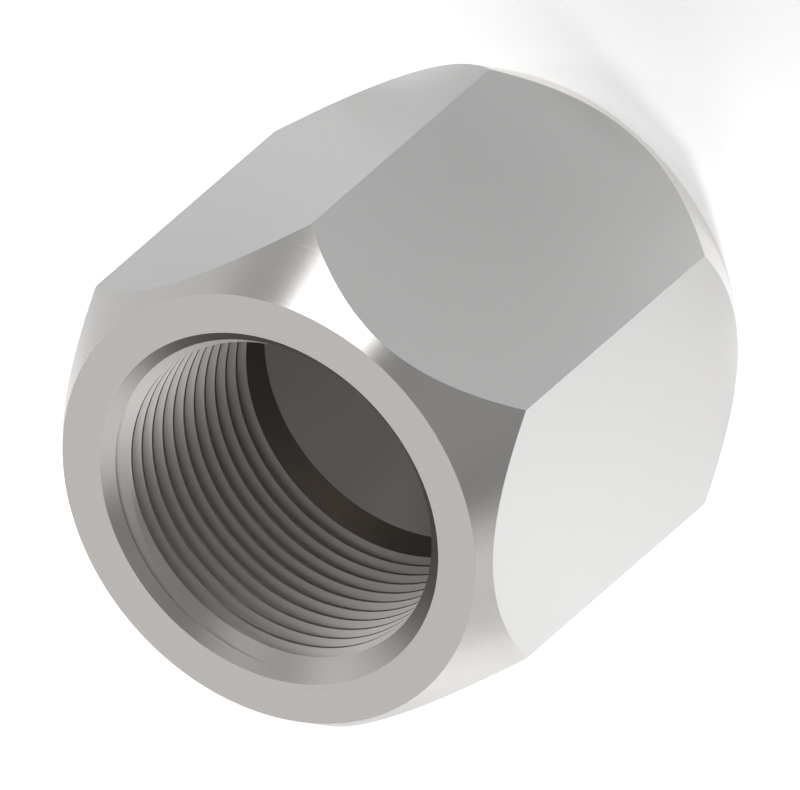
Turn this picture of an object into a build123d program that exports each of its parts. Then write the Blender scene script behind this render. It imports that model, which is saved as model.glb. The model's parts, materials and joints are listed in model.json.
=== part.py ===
"""Hexagonal protection cap that screws onto a 7/8-20 UNEF male thread, turned from one hexagon bar.

The closed end lies on the plane Z = 0 with its centre at the origin, and the mouth faces +Z.
Two corners of the hexagon point along +Y and -Y, so two of its flats face +X and -X.
All lengths are in millimetres. The helical groove of the thread itself is not cut here:
the bore is the tapped hole's minor diameter, which is the wall that a screw's crest line meets.
"""
from build123d import *
from math import cos, pi, radians, tan
import os

# Hexagon bar and overall length
ACROSS_FLATS = 30.16          # 1-3/16 in bar
LENGTH = 31.85                # closed end to mouth face

# Turned chamfers that cut the corners of the hexagon at both ends
CHAMFER_HALF_ANGLE = 30.0     # degrees, measured from the axis
END_FACE_DIAMETER = 28.95     # of each turned end face, inside its chamfer

# Tapped blind hole
BORE_DIAMETER = 20.93         # minor diameter of the 7/8-20 UNEF thread, class 2B
BORE_DEPTH = 17.57            # mouth face to the foot of the straight wall
DRILL_POINT_ANGLE = 118.0     # degrees, full angle of the cone that the drill leaves at the bottom
COUNTERSINK_DIAMETER = 23.71  # at the mouth face
COUNTERSINK_ANGLE = 90.0      # degrees, full angle of the lead-in cone

# Sizes that follow
APOTHEM = ACROSS_FLATS / 2
CORNER_RADIUS = APOTHEM / cos(pi / 6)
END_FACE_RADIUS = END_FACE_DIAMETER / 2
CHAMFER_HEIGHT = (CORNER_RADIUS - END_FACE_RADIUS) / tan(radians(CHAMFER_HALF_ANGLE))
BORE_RADIUS = BORE_DIAMETER / 2
DRILL_POINT_HEIGHT = BORE_RADIUS / tan(radians(DRILL_POINT_ANGLE / 2))
COUNTERSINK_RADIUS = COUNTERSINK_DIAMETER / 2
COUNTERSINK_HEIGHT = (COUNTERSINK_RADIUS - BORE_RADIUS) / tan(radians(COUNTERSINK_ANGLE / 2))


def turned(points):
    """Solid of revolution about Z of a closed outline given as (radius, height) pairs."""
    outline = Polyline(*[(r, 0, z) for r, z in points], close=True)
    return revolve(make_face(outline), axis=Axis.Z)


def hexagon_bar():
    """Length of hexagon bar with two corners on the Y axis."""
    section = RegularPolygon(CORNER_RADIUS, 6, rotation=30)
    return extrude(section, amount=LENGTH)


def turned_envelope():
    """Round envelope that meets the hexagon's corners and tapers to the two end faces."""
    return turned([
        (0, 0),
        (END_FACE_RADIUS, 0),
        (CORNER_RADIUS, CHAMFER_HEIGHT),
        (CORNER_RADIUS, LENGTH - CHAMFER_HEIGHT),
        (END_FACE_RADIUS, LENGTH),
        (0, LENGTH),
    ])


def blind_hole():
    """Drilled hole with its pointed bottom and its lead-in cone at the mouth."""
    return turned([
        (0, LENGTH - BORE_DEPTH - DRILL_POINT_HEIGHT),
        (BORE_RADIUS, LENGTH - BORE_DEPTH),
        (BORE_RADIUS, LENGTH - COUNTERSINK_HEIGHT),
        (COUNTERSINK_RADIUS, LENGTH),
        (0, LENGTH),
    ])


def protection_cap():
    """Hexagon bar turned at both ends and bored from the mouth."""
    cap = (hexagon_bar() & turned_envelope()) - blind_hole()
    cap.label = "protection_cap"
    return cap


os.makedirs("parts", exist_ok=True)
cap = protection_cap()
export_step(cap, "parts/protection_cap.step")
box = cap.bounding_box()
print("size", [round(v, 3) for v in (box.size.X, box.size.Y, box.size.Z)], "volume", round(cap.volume, 1))
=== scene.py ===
# %% [markdown]
# # A threaded protection cap
#
# The object is one turned piece of hexagon bar: a hexagon with a turned chamfer at both ends, a
# countersunk mouth and a tapped blind hole. The solid model gives its outside and the plain bore.
# This script gives the same form its helical thread, its steel finishes and a studio to stand in.

import json
import math

import bmesh
import bpy
from mathutils import Matrix, Vector


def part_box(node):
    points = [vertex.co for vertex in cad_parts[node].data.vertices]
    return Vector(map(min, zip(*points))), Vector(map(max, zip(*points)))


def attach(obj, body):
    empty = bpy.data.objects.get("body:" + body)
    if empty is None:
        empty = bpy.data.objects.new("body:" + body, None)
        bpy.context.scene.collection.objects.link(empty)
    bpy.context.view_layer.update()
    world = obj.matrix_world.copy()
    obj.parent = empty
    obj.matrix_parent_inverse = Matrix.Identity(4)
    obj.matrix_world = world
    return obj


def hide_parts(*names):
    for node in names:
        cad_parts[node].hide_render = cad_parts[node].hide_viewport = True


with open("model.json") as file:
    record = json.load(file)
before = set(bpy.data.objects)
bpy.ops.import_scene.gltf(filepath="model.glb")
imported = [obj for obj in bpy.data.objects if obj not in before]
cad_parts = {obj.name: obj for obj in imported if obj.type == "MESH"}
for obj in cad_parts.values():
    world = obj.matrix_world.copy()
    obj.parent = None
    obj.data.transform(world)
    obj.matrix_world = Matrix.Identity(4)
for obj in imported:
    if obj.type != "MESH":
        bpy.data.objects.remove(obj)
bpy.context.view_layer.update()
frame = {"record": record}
low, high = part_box("protection_cap")
print("solid box in mm", [round(v * 1000, 3) for v in (*low, *high)])

# %% [markdown]
# ## Sizes
#
# The visual cap has to have the solid's sizes. They could all be typed again, but a size that is read
# can't go out of date. So the length and the width come from the solid's own box, and the bore's wall
# from the packed record. Only the end face's diameter and the angles of the cones are typed here.

# %% Sizes in metres
MM = 0.001
LENGTH = high.z
APOTHEM = high.x                              # half of the width across the flats
END_FACE_RADIUS = 28.95 * MM / 2
CHAMFER_SLOPE = math.tan(math.radians(30))    # outward run for each unit of height
DRILL_POINT_ANGLE = 118                       # degrees, full angle of the drill's cone

thread_mount = next(m for m in frame["record"]["mounts"] if m["name"] == "thread")
MINOR_RADIUS = thread_mount["dims"]["r_mm"] * MM
WALL_LENGTH = thread_mount["dims"]["length_mm"] * MM
BORE_FLOOR = thread_mount["pos_m"][2] - WALL_LENGTH / 2
COUNTERSINK_HEIGHT = LENGTH - BORE_FLOOR - WALL_LENGTH
COUNTERSINK_RADIUS = MINOR_RADIUS + COUNTERSINK_HEIGHT    # a 90 degree cone widens by its own height
DRILL_POINT_HEIGHT = MINOR_RADIUS / math.tan(math.radians(DRILL_POINT_ANGLE / 2))
print("length mm", round(LENGTH / MM, 3), "across flats mm", round(2 * APOTHEM / MM, 3))
print("bore floor mm", round(BORE_FLOOR / MM, 3), "mouth radius mm", round(COUNTERSINK_RADIUS / MM, 3))

# %% [markdown]
# ## The camera
#
# In the photograph, edges that are parallel on the cap stay parallel. A very long lens comes close to
# that, and an orthographic camera does it exactly, so this is one. The photograph shows the cap on its
# side, from 30 degrees round and 30 degrees above. Here the cap stands on its closed end, so the same
# view is a camera that looks down into the mouth and is rolled about its own line of sight.

# %% Camera
PHOTO_WIDTH, PHOTO_HEIGHT = 800, 790
PHOTO_PIXELS_PER_MM = 16.481
MOUTH_CENTRE_PIXEL = (268.507, 508.317)       # centre of the mouth face in the photograph
CAMERA_DISTANCE = 0.3                         # metres
NEAREST_SEEN, FURTHEST_SEEN = 0.001, 10
TO_CAMERA = Vector((math.sqrt(3) / 4, 0.5, 0.75))
SCREEN_RIGHT = Vector((math.sqrt(3) / 2, 0.0, -0.5))
SCREEN_UP = TO_CAMERA.cross(SCREEN_RIGHT)


def add_camera():
    metres_per_pixel = MM / PHOTO_PIXELS_PER_MM
    across = ((PHOTO_WIDTH - 1) / 2 - MOUTH_CENTRE_PIXEL[0]) * metres_per_pixel
    down = ((PHOTO_HEIGHT - 1) / 2 - MOUTH_CENTRE_PIXEL[1]) * metres_per_pixel
    aim = Vector((0, 0, LENGTH)) + SCREEN_RIGHT * across - SCREEN_UP * down
    data = bpy.data.cameras.new("camera")
    data.type = "ORTHO"
    data.ortho_scale = PHOTO_WIDTH * metres_per_pixel
    data.clip_start = NEAREST_SEEN
    data.clip_end = FURTHEST_SEEN
    camera = bpy.data.objects.new("camera", data)
    turn = Matrix((SCREEN_RIGHT, SCREEN_UP, TO_CAMERA)).transposed().to_4x4()
    camera.matrix_world = Matrix.Translation(aim + TO_CAMERA * CAMERA_DISTANCE) @ turn
    bpy.context.scene.collection.objects.link(camera)
    bpy.context.scene.camera = camera


add_camera()
print("camera looks along", [round(-v, 3) for v in TO_CAMERA])

# %% [markdown]
# ## The body as one rule
#
# Seen as a turned part, the cap is a set of rings about one axis, and every ring has a rule for its
# radius and height at each angle. Cutting a block with booleans would give the same form, but leaves
# slivers where the helix meets the cones. Here a grid whose columns are angles and whose rows are
# rings becomes the whole skin. Each true edge of the part is then a row of the mesh, so no edge is
# jagged. Geometry Nodes place each point by its row and column, and every step of that arithmetic is
# a node, so a few short calls that make such nodes come first.

# %% Short calls for the arithmetic of a node tree
NODES_IN_COLUMN = 6
COLUMN_SPACING, NODE_SPACING = 180, 170       # where the nodes stand in the editor, in its own units


class Tree:
    """A node tree under construction."""

    def __init__(self, tree):
        self.tree = tree
        self.count = 0

    def node(self, kind, **settings):
        made = self.tree.nodes.new(kind)
        column, place = divmod(self.count, NODES_IN_COLUMN)
        made.location = (COLUMN_SPACING * column, -NODE_SPACING * place)
        self.count += 1
        for key, value in settings.items():
            setattr(made, key, value)
        return made

    def link(self, source, target):
        self.tree.links.new(source, target)

    def feed(self, value, target):
        if isinstance(value, (int, float)):
            target.default_value = value
        else:
            self.link(value, target)

    def math(self, operation, *values):
        made = self.node("ShaderNodeMath", operation=operation)
        for value, target in zip(values, made.inputs):
            self.feed(value, target)
        return made.outputs[0]

    def add(self, *values):
        total = values[0]
        for value in values[1:]:
            total = self.math("ADD", total, value)
        return total

    def sub(self, a, b):
        return self.math("SUBTRACT", a, b)

    def mul(self, a, b):
        return self.math("MULTIPLY", a, b)

    def div(self, a, b):
        return self.math("DIVIDE", a, b)

    def mix(self, a, b, share):
        """a where share is 0 and b where it is 1."""
        return self.add(a, self.mul(self.sub(b, a), share))


print("calls:", ", ".join(name for name in vars(Tree) if not name.startswith("_")))


# %% Short calls for limits and places
def lower(t, a, b):
    return t.math("MINIMUM", a, b)


def higher(t, a, b):
    return t.math("MAXIMUM", a, b)


def vector(t, x, y, z):
    made = t.node("ShaderNodeCombineXYZ")
    for value, target in zip((x, y, z), made.inputs):
        t.feed(value, target)
    return made.outputs[0]


def axes_of(t, place):
    """The x, y and z of a place."""
    made = t.node("ShaderNodeSeparateXYZ")
    t.link(place, made.inputs[0])
    return made.outputs


def from_axis(t, x, y):
    """Distance from the cap's axis."""
    return t.math("SQRT", t.add(t.mul(x, x), t.mul(y, y)))


print("the cap's axis is the line where x and y are 0")


# %% Short calls for choices
def compare(t, operation, a, b):
    made = t.node("FunctionNodeCompare", data_type="FLOAT", operation=operation)
    t.feed(a, made.inputs[0])
    t.feed(b, made.inputs[1])
    return made.outputs[0]


def pick(t, condition, if_true, if_false):
    made = t.node("GeometryNodeSwitch", input_type="FLOAT")
    t.link(condition, made.inputs["Switch"])
    t.feed(if_true, made.inputs["True"])
    t.feed(if_false, made.inputs["False"])
    return made.outputs[0]


def choose(t, index, values):
    """The value whose place in the list is the index."""
    made = t.node("GeometryNodeIndexSwitch", data_type="FLOAT")
    while len(made.index_switch_items) < len(values):
        made.index_switch_items.new()
    t.link(index, made.inputs[0])
    for value, target in zip(values, list(made.inputs)[1:]):
        t.feed(value, target)
    return made.outputs[0]


print("a value is chosen by a condition, or by its place in a list")

# %% Rings from a grid
COLUMNS = 240                                 # angles round the axis, a multiple of 12


def whole_groups(t, number, group):
    """How many whole groups fit into a whole number; the half guards against rounding."""
    return t.math("FLOOR", t.div(t.add(number, 0.5), group))


def ring_grid(t, rows):
    """A flat grid with one column for each angle, and each point's row number and angle."""
    grid = t.node("GeometryNodeMeshGrid")
    grid.inputs["Vertices X"].default_value = COLUMNS + 1
    grid.inputs["Vertices Y"].default_value = rows
    index = t.node("GeometryNodeInputIndex").outputs[0]
    column = whole_groups(t, index, rows)
    row = t.sub(index, t.mul(column, rows))
    angle = t.mul(column, math.tau / COLUMNS)
    return grid.outputs["Mesh"], row, angle


def place_rings(t, mesh, radius, angle, height):
    """Moves each point of the grid to its own radius, angle and height."""
    made = t.node("GeometryNodeSetPosition")
    t.link(mesh, made.inputs["Geometry"])
    x = t.mul(radius, t.math("COSINE", angle))
    y = t.mul(radius, t.math("SINE", angle))
    t.link(vector(t, x, y, height), made.inputs["Position"])
    return made.outputs[0]


print("one column every", 360 / COLUMNS, "degrees")


# %% Materials on the rings
def paint(t, mesh, material, chosen=None):
    """Gives the chosen faces a material, or all faces where none are chosen."""
    made = t.node("GeometryNodeSetMaterial")
    made.inputs["Material"].default_value = material
    t.link(mesh, made.inputs["Geometry"])
    if chosen is not None:
        t.link(chosen, made.inputs["Selection"])
    return made.outputs[0]


def paint_ring(t, mesh, rows, ring, material):
    """Gives one ring of faces, between two rows of points, its own material."""
    index = t.node("GeometryNodeInputIndex").outputs[0]
    own_ring = t.math("FLOORED_MODULO", index, rows - 1)
    in_ring = compare(t, "LESS_THAN", t.math("ABSOLUTE", t.sub(own_ring, ring)), 0.5)
    return paint(t, mesh, material, in_ring)


print("a grid of n rows has n - 1 rings of faces")

# %% [markdown]
# ## The outside
#
# The bar is hexagonal, and a lathe turned a cone on each end of it. The cone reaches furthest along
# the bar at the corners and least at the middle of each flat, which draws an arc on every flat. The
# arcs could be traced as curves, but they needn't be: at each angle the hexagon has one radius, and
# the cone's height at that radius is where the arc passes. So two short formulas give all twelve.

# %% The hexagon's radius at each angle
FLATS = 6


def hexagon_radius(t, angle, apothem):
    """Distance from the axis to the hexagon's side, with flats facing 0 and 60 degrees."""
    sector = math.tau / FLATS
    turned = t.add(angle, sector / 2)
    past = t.sub(turned, t.mul(t.math("FLOOR", t.div(turned, sector)), sector))
    return t.div(apothem, t.math("COSINE", t.sub(past, sector / 2)))


print("corner radius mm", round(APOTHEM / math.cos(math.pi / FLATS) / MM, 3))

# %% The outer skin
OUTER_ROWS = 6                                # centre and rim below, both edges of the flats, rims above


def outer_skin(t, size, finish):
    """Closed end, chamfer, flats, chamfer and mouth ring, from the axis below to the countersink."""
    mesh, row, angle = ring_grid(t, OUTER_ROWS)
    side = hexagon_radius(t, angle, size["Apothem"])
    chamfer = t.div(t.sub(side, size["End Face Radius"]), size["Chamfer Slope"])
    upper_edge = t.sub(size["Length"], chamfer)
    radius = choose(t, row, [0.0, size["End Face Radius"], side, side,
                             size["End Face Radius"], size["Countersink Radius"]])
    height = choose(t, row, [0.0, 0.0, chamfer, upper_edge, size["Length"], size["Length"]])
    skin = paint(t, place_rings(t, mesh, radius, angle, height), finish["faced"])
    for ring, name in ((1, "turned"), (2, "drawn"), (3, "turned")):
        skin = paint_ring(t, skin, OUTER_ROWS, ring, finish[name])
    return skin


print("rows of the outer skin", OUTER_ROWS)

# %% [markdown]
# ## The thread
#
# The thread is 7/8-20 UNEF: twenty turns to the inch, with flanks 60 degrees apart, cut by a tap into
# the drilled hole. A profile swept along a helix is the usual way to draw one, but its ends then have
# to be closed and cut by hand. In the grid, the groove's four corners climb by one pitch in a whole
# round, so the end of each turn lies on the start of the next and the weld joins them. Near the
# bottom the groove fades in over a quarter of a turn, where the tap stopped, and at the mouth the
# countersink's cone cuts it off.

# %% Sizes of the thread
TURNS_PER_INCH = 20
PITCH = 25.4 * MM / TURNS_PER_INCH
CREST_WIDTH = 0.20 * MM
ROOT_WIDTH = 0.12 * MM
FLANK_SLOPE = math.tan(math.radians(30))      # axial run for each unit of thread depth
THREAD_DEPTH = (PITCH - CREST_WIDTH - ROOT_WIDTH) / 2 / FLANK_SLOPE
GROOVE_START = 16.417 * MM                    # where the middle of the groove's helix crosses +X
FIRST_FULL_ANGLE = 2.9                        # radians past +X where the groove reaches full depth
RUN_OUT_ANGLE = 1.6                           # radians over which it fades in before that
print("crest, root radius mm", round(MINOR_RADIUS / MM, 3), round((MINOR_RADIUS + THREAD_DEPTH) / MM, 3))
print("thread depth mm", round(THREAD_DEPTH / MM, 3), "pitch mm", round(PITCH / MM, 3))

# %% Corners of the thread form
CORNERS = 4                                   # lower lip of the groove, two edges of its root, upper lip


def thread_corner(t, size, turn, corner, angle):
    """Radius and height of one corner of the groove, on a turn and at an angle.

    Ahead of the groove's start all four corners wait on the bore's bottom edge.
    """
    along = t.add(t.mul(turn, math.tau), angle)
    fade_start = t.sub(size["First Full Angle"], size["Run Out Angle"])
    ramp = t.div(t.sub(along, fade_start), size["Run Out Angle"])
    depth = t.mul(size["Thread Depth"], lower(t, higher(t, ramp, 0.0), 1.0))
    half_root = t.mul(size["Root Width"], 0.5)
    half_mouth = t.add(half_root, t.mul(depth, size["Flank Slope"]))
    offsets = [t.mul(half_mouth, -1.0), t.mul(half_root, -1.0), half_root, half_mouth]
    deep = choose(t, corner, [0.0, depth, depth, 0.0])
    middle = t.add(size["Groove Start"], t.mul(size["Pitch"], t.div(along, math.tau)))
    height = t.add(middle, choose(t, corner, offsets))
    started = compare(t, "GREATER_THAN", ramp, 0.0)
    return t.add(size["Minor Radius"], deep), pick(t, started, height, size["Bore Floor"])


print("the groove starts", round(FIRST_FULL_ANGLE - RUN_OUT_ANGLE, 3), "radians past +X")

# %% Rows of the bore
DRILL_ROWS = 3                                # tip of the drill's cone, a ring near it, foot of the wall
DRILL_TIP_SHARE = 0.04                        # share of the cone's radius at the ring near the tip
ROWS_PER_CORNER = 2                           # the corner, and where the span after it is cut
TURNS = 15                                    # one below the groove's start, the rest up past the mouth
BORE_ROWS = DRILL_ROWS + ROWS_PER_CORNER * CORNERS * TURNS + 1


def thread_span(t, size, row, angle):
    """The two corners that a row of the thread lies between, and 0 at the first or 1 between them."""
    step = higher(t, t.sub(row, DRILL_ROWS), 0.0)
    span = whole_groups(t, step, ROWS_PER_CORNER)
    between = t.sub(step, t.mul(span, ROWS_PER_CORNER))
    ends = []
    for extra in (0.0, 1.0):
        number = t.add(span, extra)
        turn = whole_groups(t, number, CORNERS)
        corner = t.sub(number, t.mul(turn, CORNERS))
        ends.append(thread_corner(t, size, t.sub(turn, 1.0), corner, angle))
    return ends, between


print("rows of the bore", BORE_ROWS)


# %% The countersink's cut
def cone_radius(t, size, height):
    """Radius of the countersink's cone, which grows by as much as the height does."""
    return t.sub(size["Countersink Radius"], t.sub(size["Length"], height))


def cut_by_cone(t, size, ends, between):
    """Radius and height of a row of the thread, cut off where the countersink's cone crosses it."""
    (radius_a, height_a), (radius_b, height_b) = ends
    gap_a = t.sub(radius_a, cone_radius(t, size, height_a))
    gap_b = t.sub(radius_b, cone_radius(t, size, height_b))
    crossing = lower(t, higher(t, t.div(gap_a, t.sub(gap_a, gap_b)), 0.0), 1.0)
    share = t.mul(crossing, between)
    height = t.mix(height_a, height_b, share)
    radius = t.mix(radius_a, radius_b, share)
    height = lower(t, higher(t, height, size["Bore Floor"]), size["Length"])
    return higher(t, radius, cone_radius(t, size, height)), height


print("countersink height mm", round(COUNTERSINK_HEIGHT / MM, 3))


# %% The bore's skin
def bore_skin(t, size, finish):
    """The drill's cone, the threaded wall above it and the countersink, up to the mouth's edge."""
    mesh, row, angle = ring_grid(t, BORE_ROWS)
    ends, between = thread_span(t, size, row, angle)
    radius, height = cut_by_cone(t, size, ends, between)

    in_drill_point = compare(t, "LESS_THAN", row, DRILL_ROWS - 0.5)
    reach = choose(t, lower(t, row, DRILL_ROWS - 1), [0.0, DRILL_TIP_SHARE, 1.0])
    drill_height = t.sub(size["Bore Floor"], t.mul(size["Drill Point Height"], t.sub(1.0, reach)))
    radius = pick(t, in_drill_point, t.mul(size["Minor Radius"], reach), radius)
    height = pick(t, in_drill_point, drill_height, height)

    at_mouth = compare(t, "GREATER_THAN", row, BORE_ROWS - 1.5)
    radius = pick(t, at_mouth, size["Countersink Radius"], radius)
    height = pick(t, at_mouth, size["Length"], height)

    skin = paint(t, place_rings(t, mesh, radius, angle, height), finish["tapped"])
    for ring in range(DRILL_ROWS - 1):
        skin = paint_ring(t, skin, BORE_ROWS, ring, finish["drilled"])
    return skin


print("drill point height mm", round(DRILL_POINT_HEIGHT / MM, 3))

# %% The cone's own finish
CONE_TOLERANCE = 0.004 * MM                   # how near the cone a face's middle has to lie


def paint_cone(t, mesh, size, material):
    """Gives the faces that lie on the countersink's cone their own material."""
    x, y, z = axes_of(t, t.node("GeometryNodeInputPosition").outputs[0])
    off_cone = t.math("ABSOLUTE", t.sub(from_axis(t, x, y), cone_radius(t, size, z)))
    return paint(t, mesh, material, compare(t, "LESS_THAN", off_cone, CONE_TOLERANCE))


print("cone tolerance mm", round(CONE_TOLERANCE / MM, 3))

# %% [markdown]
# ## The whole cap as one tree
#
# The outside and the bore meet at the mouth's inner edge, where both skins have the same ring of
# points. They could stay two meshes, but a closed skin shades better and can be measured. So one tree
# joins them and welds what coincides: that edge, the seam of each skin and the points on the axis.
# Each size is a named input, so the same rule would make a longer cap or a wider one.

# %% Inputs of the tree
INPUTS = {
    "Length": LENGTH,
    "Apothem": APOTHEM,
    "End Face Radius": END_FACE_RADIUS,
    "Chamfer Slope": CHAMFER_SLOPE,
    "Minor Radius": MINOR_RADIUS,
    "Countersink Radius": COUNTERSINK_RADIUS,
    "Bore Floor": BORE_FLOOR,
    "Drill Point Height": DRILL_POINT_HEIGHT,
    "Pitch": PITCH,
    "Thread Depth": THREAD_DEPTH,
    "Root Width": ROOT_WIDTH,
    "Flank Slope": FLANK_SLOPE,
    "Groove Start": GROOVE_START,
    "First Full Angle": FIRST_FULL_ANGLE,
    "Run Out Angle": RUN_OUT_ANGLE,
}


def named_inputs(t):
    """Gives the tree its inputs and its one output, and returns the input sockets by name."""
    face = t.tree.interface
    for name, value in INPUTS.items():
        socket = face.new_socket(name, in_out="INPUT", socket_type="NodeSocketFloat")
        socket.default_value = value
    face.new_socket("Geometry", in_out="OUTPUT", socket_type="NodeSocketGeometry")
    entry = t.node("NodeGroupInput")
    return {name: entry.outputs[name] for name in INPUTS}


print("inputs:", ", ".join(INPUTS))

# %% The tree
WELD_DISTANCE = 0.001 * MM


def cap_tree(finish):
    """Both skins, welded, made real and painted."""
    t = Tree(bpy.data.node_groups.new("threaded cap", "GeometryNodeTree"))
    size = named_inputs(t)
    join = t.node("GeometryNodeJoinGeometry")
    t.link(outer_skin(t, size, finish), join.inputs[0])
    t.link(bore_skin(t, size, finish), join.inputs[0])
    weld = t.node("GeometryNodeMergeByDistance")
    weld.inputs["Distance"].default_value = WELD_DISTANCE
    t.link(join.outputs[0], weld.inputs["Geometry"])
    real = t.node("GeometryNodeRealizeInstances")
    t.link(weld.outputs[0], real.inputs[0])
    exit_node = t.node("NodeGroupOutput")
    t.link(paint_cone(t, real.outputs[0], size, finish["countersunk"]), exit_node.inputs[0])
    return t.tree


print("weld distance mm", round(WELD_DISTANCE / MM, 3))

# %% [markdown]
# ## Six finishes of one steel
#
# All of the cap is the same bare steel, and the tool that cut each face left its own marks. A lathe
# leaves fine rings about the axis on the end faces and chamfers, and a countersink leaves them on its
# cone. The bar's flats were drawn through a die, so their faint lines run lengthwise. The tap and the
# drill leave coarser rings in the bore. The marks could be modelled, but they are half a thousandth
# of a millimetre deep at most and show in the gloss alone, so they are patterns in the material. One
# function makes the steel, and each finish hands it a pattern to vary tone, gloss and relief by.
# Steel reflects a little over half of the light, with a slightly warm tone.


# %% Steel from a pattern of marks
def scaled(colour, factor):
    """The colour made lighter or darker, with full alpha."""
    return (*[channel * factor for channel in colour], 1.0)


def steel(name, colour, roughness, edge, marks, roughness_swing, colour_swing, relief):
    """Bare steel whose tone, gloss and relief follow a pattern of tool marks between 0 and 1.

    The edge value is how far the steel brightens at a grazing angle.
    """
    made = bpy.data.materials.new(name)
    made.use_nodes = True
    shader = made.node_tree.nodes["Principled BSDF"]
    shader.inputs["Metallic"].default_value = 1.0
    shader.inputs["Specular Tint"].default_value = scaled((1, 1, 1), edge)
    t = Tree(made.node_tree)
    pattern = marks(t)
    rough = t.mix(roughness - roughness_swing, roughness + roughness_swing, pattern)
    t.link(rough, shader.inputs["Roughness"])
    tone = t.node("ShaderNodeMix", data_type="RGBA")
    tone.inputs["A"].default_value = scaled(colour, 1 - colour_swing)
    tone.inputs["B"].default_value = scaled(colour, 1 + colour_swing)
    t.link(pattern, tone.inputs["Factor"])
    t.link(tone.outputs["Result"], shader.inputs["Base Color"])
    bump = t.node("ShaderNodeBump")
    bump.inputs["Distance"].default_value = relief
    t.link(pattern, bump.inputs["Height"])
    t.link(bump.outputs["Normal"], shader.inputs["Normal"])
    return made


print("one pattern drives a steel's tone, gloss and relief")

# %% Patterns of tool marks
MARK_DETAIL = 2.0                             # how many finer layers the noise has


def noise(t, place):
    made = t.node("ShaderNodeTexNoise")
    made.inputs["Scale"].default_value = 1.0
    made.inputs["Detail"].default_value = MARK_DETAIL
    t.link(place, made.inputs["Vector"])
    return made.outputs["Fac"]


def ring_marks(spacing):
    """Rings about the axis: the pattern depends on distance from the axis and on height alone."""
    def marks(t):
        x, y, z = axes_of(t, t.node("ShaderNodeTexCoord").outputs["Object"])
        radius = from_axis(t, x, y)
        return noise(t, vector(t, t.div(radius, spacing), t.div(z, spacing), 0.0))
    return marks


def lengthwise_marks(spacing, stretch):
    """Long thin lines along the bar."""
    def marks(t):
        x, y, z = axes_of(t, t.node("ShaderNodeTexCoord").outputs["Object"])
        along = t.div(z, spacing * stretch)
        return noise(t, vector(t, t.div(x, spacing), t.div(y, spacing), along))
    return marks


FINE_RINGS = ring_marks(0.10 * MM)            # of a lathe tool and a countersink
TAP_RINGS = ring_marks(0.14 * MM)
DRILL_RINGS = ring_marks(0.20 * MM)
DIE_LINES = lengthwise_marks(0.12 * MM, stretch=60)
print("four patterns of marks, 0.10 to 0.20 mm apart")

# %% The six finishes
FACED_STEEL = (0.590, 0.562, 0.540)           # the end faces, fresh from the tool
TURNED_STEEL = (0.577, 0.562, 0.548)          # the chamfers
DRAWN_STEEL = (0.550, 0.545, 0.540)           # the flats, dulled grey by the die
COUNTERSUNK_STEEL = (0.567, 0.547, 0.530)     # the lead-in cone
# The tapped wall's colour is lighter than steel's own, a painted lift of light in the shaded bore
TAPPED_STEEL = (0.660, 0.630, 0.603)          # painted lighter than the steel outside, to lift the shade in the bore
DRILLED_STEEL = (0.510, 0.478, 0.450)         # dull from the drill in its roughness; its colour is darker and warmer than the other steels

FINISHES = {
    "faced": steel("faced steel", FACED_STEEL, roughness=0.25, edge=1.0, marks=FINE_RINGS,
                   roughness_swing=0.03, colour_swing=0.02, relief=0.0003 * MM),
    "turned": steel("turned steel", TURNED_STEEL, roughness=0.25, edge=1.0, marks=FINE_RINGS,
                    roughness_swing=0.03, colour_swing=0.02, relief=0.0003 * MM),
    "drawn": steel("drawn steel", DRAWN_STEEL, roughness=0.25, edge=0.80, marks=DIE_LINES,
                   roughness_swing=0.03, colour_swing=0.015, relief=0.0003 * MM),
    "countersunk": steel("countersunk steel", COUNTERSUNK_STEEL, roughness=0.32, edge=1.0,
                         marks=FINE_RINGS, roughness_swing=0.03, colour_swing=0.02,
                         relief=0.0003 * MM),
    "tapped": steel("tapped steel", TAPPED_STEEL, roughness=0.38, edge=1.0, marks=TAP_RINGS,
                    roughness_swing=0.04, colour_swing=0.03, relief=0.0004 * MM),
    "drilled": steel("drilled steel", DRILLED_STEEL, roughness=0.36, edge=1.0, marks=DRILL_RINGS,
                     roughness_swing=0.04, colour_swing=0.03, relief=0.0005 * MM),
}
print("finishes:", ", ".join(FINISHES))

# %% [markdown]
# ## From the rule to the piece
#
# The tree is only a rule until an object carries it. The object could keep it as a live modifier, but
# the cap is finished as a plain mesh: it is measured, its slivers go and its true edges are marked.
# Neighbouring columns of the round faces turn by only a few degrees and the true edges turn by far
# more, so the angle between two faces is enough to tell which edges stay sharp.


# %% Build the cap
def build_cap():
    tree = cap_tree(FINISHES)
    holder = bpy.data.objects.new("threaded_cap_rule", bpy.data.meshes.new("empty"))
    bpy.context.scene.collection.objects.link(holder)
    modifier = holder.modifiers.new("cap", "NODES")
    modifier.node_group = tree
    for item in tree.interface.items_tree:
        if item.in_out == "INPUT":
            modifier[item.identifier] = INPUTS[item.name]
    graph = bpy.context.evaluated_depsgraph_get()
    mesh = bpy.data.meshes.new_from_object(holder.evaluated_get(graph))
    bpy.data.objects.remove(holder)
    piece = bpy.data.objects.new("threaded_cap", mesh)
    bpy.context.scene.collection.objects.link(piece)
    return piece


cap = build_cap()
print("cap has", len(cap.data.vertices), "points and", len(cap.data.polygons), "faces")

# %% Clean the skin
SLIVER_WIDTH = 0.0002 * MM
CREASE_ANGLE = 9                              # degrees between two faces from which their edge is sharp


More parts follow.
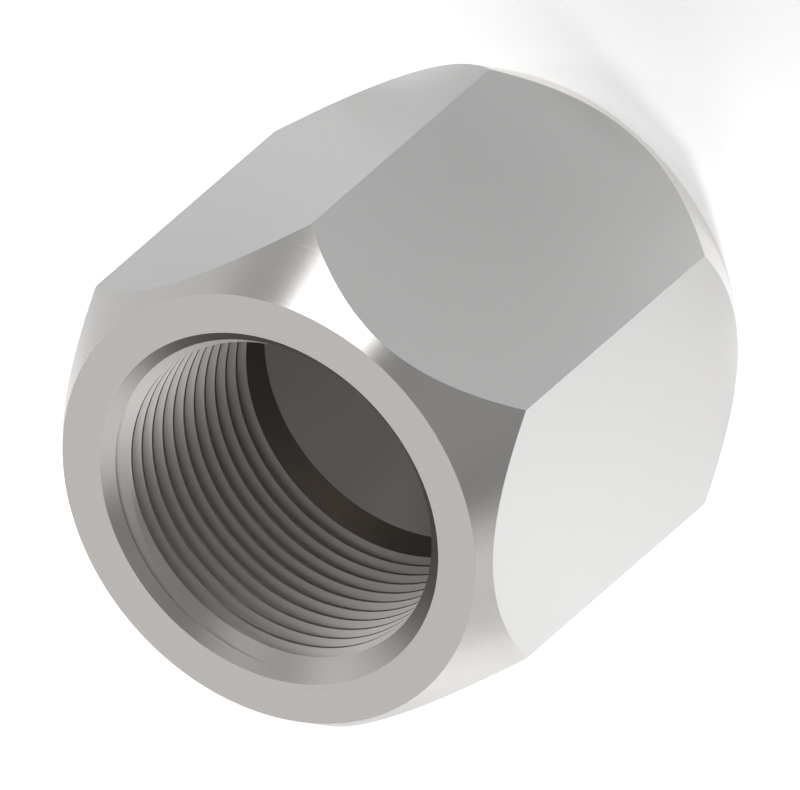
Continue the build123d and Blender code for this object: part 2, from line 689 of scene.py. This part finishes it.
def clean_skin(piece):
    """Takes slivers out and marks the true edges; returns the open edges and the volume."""
    work = bmesh.new()
    work.from_mesh(piece.data)
    bmesh.ops.dissolve_degenerate(work, dist=SLIVER_WIDTH, edges=work.edges)
    bmesh.ops.recalc_face_normals(work, faces=work.faces)
    open_edges = sum(not e.is_manifold for e in work.edges)
    volume = work.calc_volume()
    for face in work.faces:
        face.smooth = True
    for edge in work.edges:
        if len(edge.link_faces) == 2:
            edge.smooth = edge.calc_face_angle() < math.radians(CREASE_ANGLE)
    work.to_mesh(piece.data)
    work.free()
    return open_edges, volume


open_edges, volume = clean_skin(cap)
print("open edges", open_edges, "volume mm3", round(volume / MM**3, 1))

# %% Put the cap in the frame
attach(cap, "root")
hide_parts("protection_cap")
print("the threaded cap stands in for the solid's plain one")

# %% [markdown]
# ## The studio
#
# Bare steel shows its surroundings, so the studio is half of the finish. An even white world would be
# simple, but then every face of the cap takes the same tone. So the cap stands on a pale floor among
# a few soft lights, as on a photographer's table. Each flat mirrors the floor beside it, and what
# makes one flat lighter than the next is how well that floor is lit.
#
# To the camera and in mirrors the floor adds a share of plain white to the light that falls on it, so
# it looks pale without more light on the cap and still keeps the shadow. Close round the foot that
# share is larger in mirrors alone: a painted glow under the cap's overhang, where the floor lies in the
# cap's shade, so that the lower chamfer, which faces the floor there and mirrors little else, shows a
# painted reflection.

# %% The painted glow round the foot, seen in mirrors alone
# A painted glow in the floor that only mirrors show, under and close round the cap, where the floor lies
# in shade
FOOT_GLOW = 0.31                              # extra share of white that a mirror shows there
FOOT_INNER = 14.8 * MM                        # radius up to which that extra share is full
FOOT_OUTER = 17.2 * MM                        # radius at which it has faded out


def painted_foot_glow(t):
    """Where the painted glow lies: 1 under the cap and close round it, fading to 0 a little way out."""
    x, y, z = axes_of(t, t.node("ShaderNodeTexCoord").outputs["Object"])
    fade = t.node("ShaderNodeMapRange", interpolation_type="SMOOTHSTEP")
    fade.inputs["From Min"].default_value = FOOT_OUTER
    fade.inputs["From Max"].default_value = FOOT_INNER
    t.link(from_axis(t, x, y), fade.inputs["Value"])
    return fade.outputs["Result"]


# The painted glow fades out this far beyond the flats
print("lit patch fades out", round((FOOT_OUTER - APOTHEM) / MM, 2), "mm beyond the flats")

# %% Floor
FLOOR_SIZE = 2.0
FLOOR_COLOUR = (0.9, 0.9, 0.9, 1.0)
MIRRORED_GLOW = 0.22                          # share of plain white that the floor shows in a mirror
CAMERA_GLOW = 0.38                            # the same for the camera


def floor_glow(t):
    """White that the floor adds to its lit colour, for the camera and in mirrors alone, with a painted
    glow round the foot in mirrors.
    """
    path = t.node("ShaderNodeLightPath")
    mirrored = higher(t, path.outputs["Is Glossy Ray"], path.outputs["Is Transmission Ray"])
    glow = t.node("ShaderNodeEmission")
    # Painted glow round the foot, for mirrors alone
    in_mirror = t.add(MIRRORED_GLOW, t.mul(painted_foot_glow(t), FOOT_GLOW))
    share = t.add(t.mul(mirrored, in_mirror), t.mul(path.outputs["Is Camera Ray"], CAMERA_GLOW))
    t.link(share, glow.inputs["Strength"])
    return glow.outputs[0]


def add_floor():
    bpy.ops.mesh.primitive_plane_add(size=FLOOR_SIZE, location=(0, 0, 0))
    floor = bpy.context.object
    floor.name = "floor"
    made = bpy.data.materials.new("pale floor")
    made.use_nodes = True
    shader = made.node_tree.nodes["Principled BSDF"]
    shader.inputs["Base Color"].default_value = FLOOR_COLOUR
    shader.inputs["Specular IOR Level"].default_value = 0.0
    t = Tree(made.node_tree)
    total = t.node("ShaderNodeAddShader")
    t.link(shader.outputs[0], total.inputs[0])
    t.link(floor_glow(t), total.inputs[1])
    t.link(total.outputs[0], made.node_tree.nodes["Material Output"].inputs["Surface"])
    floor.data.materials.append(made)


add_floor()
print("floor is", FLOOR_SIZE, "m wide")

# %% [markdown]
# ## Soft panels
#
# A softbox high on the -Y side throws the cap's shadow towards +Y, which greys the floor that the
# flats on that side mirror. Broad dim panels stand round the cap, and a small bright one stands low
# on the +Y side, where its picture slides along the turned chamfers. Each panel could be a glowing
# sheet, but a sheet gets in the way when the cap is seen from another side. A round patch of light in
# the world lights the cap in the same way and hides nothing.

# %% Panels of light in the world
ROOM_LEVEL = 0.20

# Each panel stands at an azimuth and elevation, is even up to its middle and gone at its rim, in degrees
PANELS = {
    "high softbox": dict(azimuth=-95, elevation=58, middle=6, rim=20, strength=2.9),
    "front panel": dict(azimuth=-108, elevation=38, middle=10, rim=50, strength=0.49),
    "right panel": dict(azimuth=-45, elevation=9, middle=12, rim=45, strength=0.79),
    "left panel": dict(azimuth=170, elevation=9, middle=12, rim=45, strength=0.56),
    "rear panel": dict(azimuth=125, elevation=30, middle=5, rim=40, strength=0.26),
    "raised left panel": dict(azimuth=165, elevation=36, middle=5, rim=25, strength=0.22),
    "dim side panel": dict(azimuth=30, elevation=20, middle=10, rim=40, strength=0.16),
    "low bright panel": dict(azimuth=90, elevation=8, middle=10, rim=20, strength=4.5),
}


def direction(azimuth, elevation):
    across = math.cos(math.radians(elevation))
    x = across * math.cos(math.radians(azimuth))
    y = across * math.sin(math.radians(azimuth))
    return (x, y, math.sin(math.radians(elevation)))


def panel(t, ray, azimuth, elevation, middle, rim, strength):
    """Light from a round panel: full inside its middle, fading to nothing at its rim."""
    dot = t.node("ShaderNodeVectorMath", operation="DOT_PRODUCT")
    dot.inputs[1].default_value = direction(azimuth, elevation)
    t.link(ray, dot.inputs[0])
    fade = t.node("ShaderNodeMapRange", interpolation_type="SMOOTHSTEP")
    fade.inputs["From Min"].default_value = math.cos(math.radians(rim))
    fade.inputs["From Max"].default_value = math.cos(math.radians(middle))
    fade.inputs["To Max"].default_value = strength
    t.link(dot.outputs["Value"], fade.inputs["Value"])
    return fade.outputs["Result"]


def add_world():
    world = bpy.data.worlds.new("studio")
    world.use_nodes = True
    bpy.context.scene.world = world
    t = Tree(world.node_tree)
    ray = t.node("ShaderNodeTexCoord").outputs["Generated"]
    total = t.add(ROOM_LEVEL, *[panel(t, ray, **numbers) for numbers in PANELS.values()])
    background = world.node_tree.nodes["Background"]
    background.inputs["Color"].default_value = (1, 1, 1, 1)
    t.link(total, background.inputs["Strength"])


add_world()
print("panels:", ", ".join(PANELS))

# %% [markdown]
# ## Pools of light on the floor
#
# A flat that should be lighter needs a brighter piece of floor beside it. A brighter panel would
# raise the whole room, so small lamps do it, each aimed at its own place on the floor with a soft
# round pool. The cap shows them mostly through the floor that its faces mirror.

# %% Lamps that light the floor beside the cap
LAMP_RADIUS = 10 * MM
SOFT_EDGE = 1.0                               # the pool fades from its middle to its rim

# Each lamp stands and aims at a place in mm, and its pool's radius is in mm too
FLOOR_LAMPS = {
    "right lamp": dict(stand=(90, -60, 100), aim=(23, -13, 0), pool_radius=32, watts=0.56),
    "left lamp": dict(stand=(-110, 25, 90), aim=(-24, 9, 0), pool_radius=30, watts=0.10),
    "near left lamp": dict(stand=(-90, 80, 90), aim=(-11, 15, 0), pool_radius=18, watts=0.25),
    "far left lamp": dict(stand=(-150, -60, 80), aim=(-42, -22, 0), pool_radius=24, watts=0.50),
    "front lamp": dict(stand=(-20, -200, 120), aim=(-6, -85, 0), pool_radius=60, watts=0.30),
    "far front lamp": dict(stand=(80, -260, 150), aim=(47, -106, 0), pool_radius=64, watts=1.90),
}


def add_floor_lamp(name, stand, aim, pool_radius, watts):
    data = bpy.data.lights.new(name, "SPOT")
    data.energy = watts
    data.shadow_soft_size = LAMP_RADIUS
    data.spot_blend = SOFT_EDGE
    way = (Vector(aim) - Vector(stand)) * MM
    data.spot_size = 2 * math.atan(pool_radius * MM / way.length)
    lamp = bpy.data.objects.new(name, data)
    lamp.location = Vector(stand) * MM
    lamp.rotation_euler = way.to_track_quat("-Z", "Y").to_euler()
    bpy.context.scene.collection.objects.link(lamp)


for lamp_name, numbers in FLOOR_LAMPS.items():
    add_floor_lamp(lamp_name, **numbers)
print("floor lamps:", ", ".join(FLOOR_LAMPS))

# %% [markdown]
# ## Colours as written
#
# The standard view shows a colour as it is written, where a film-like one would bend it.

# %% Finish
bpy.context.scene.view_settings.view_transform = "Standard"
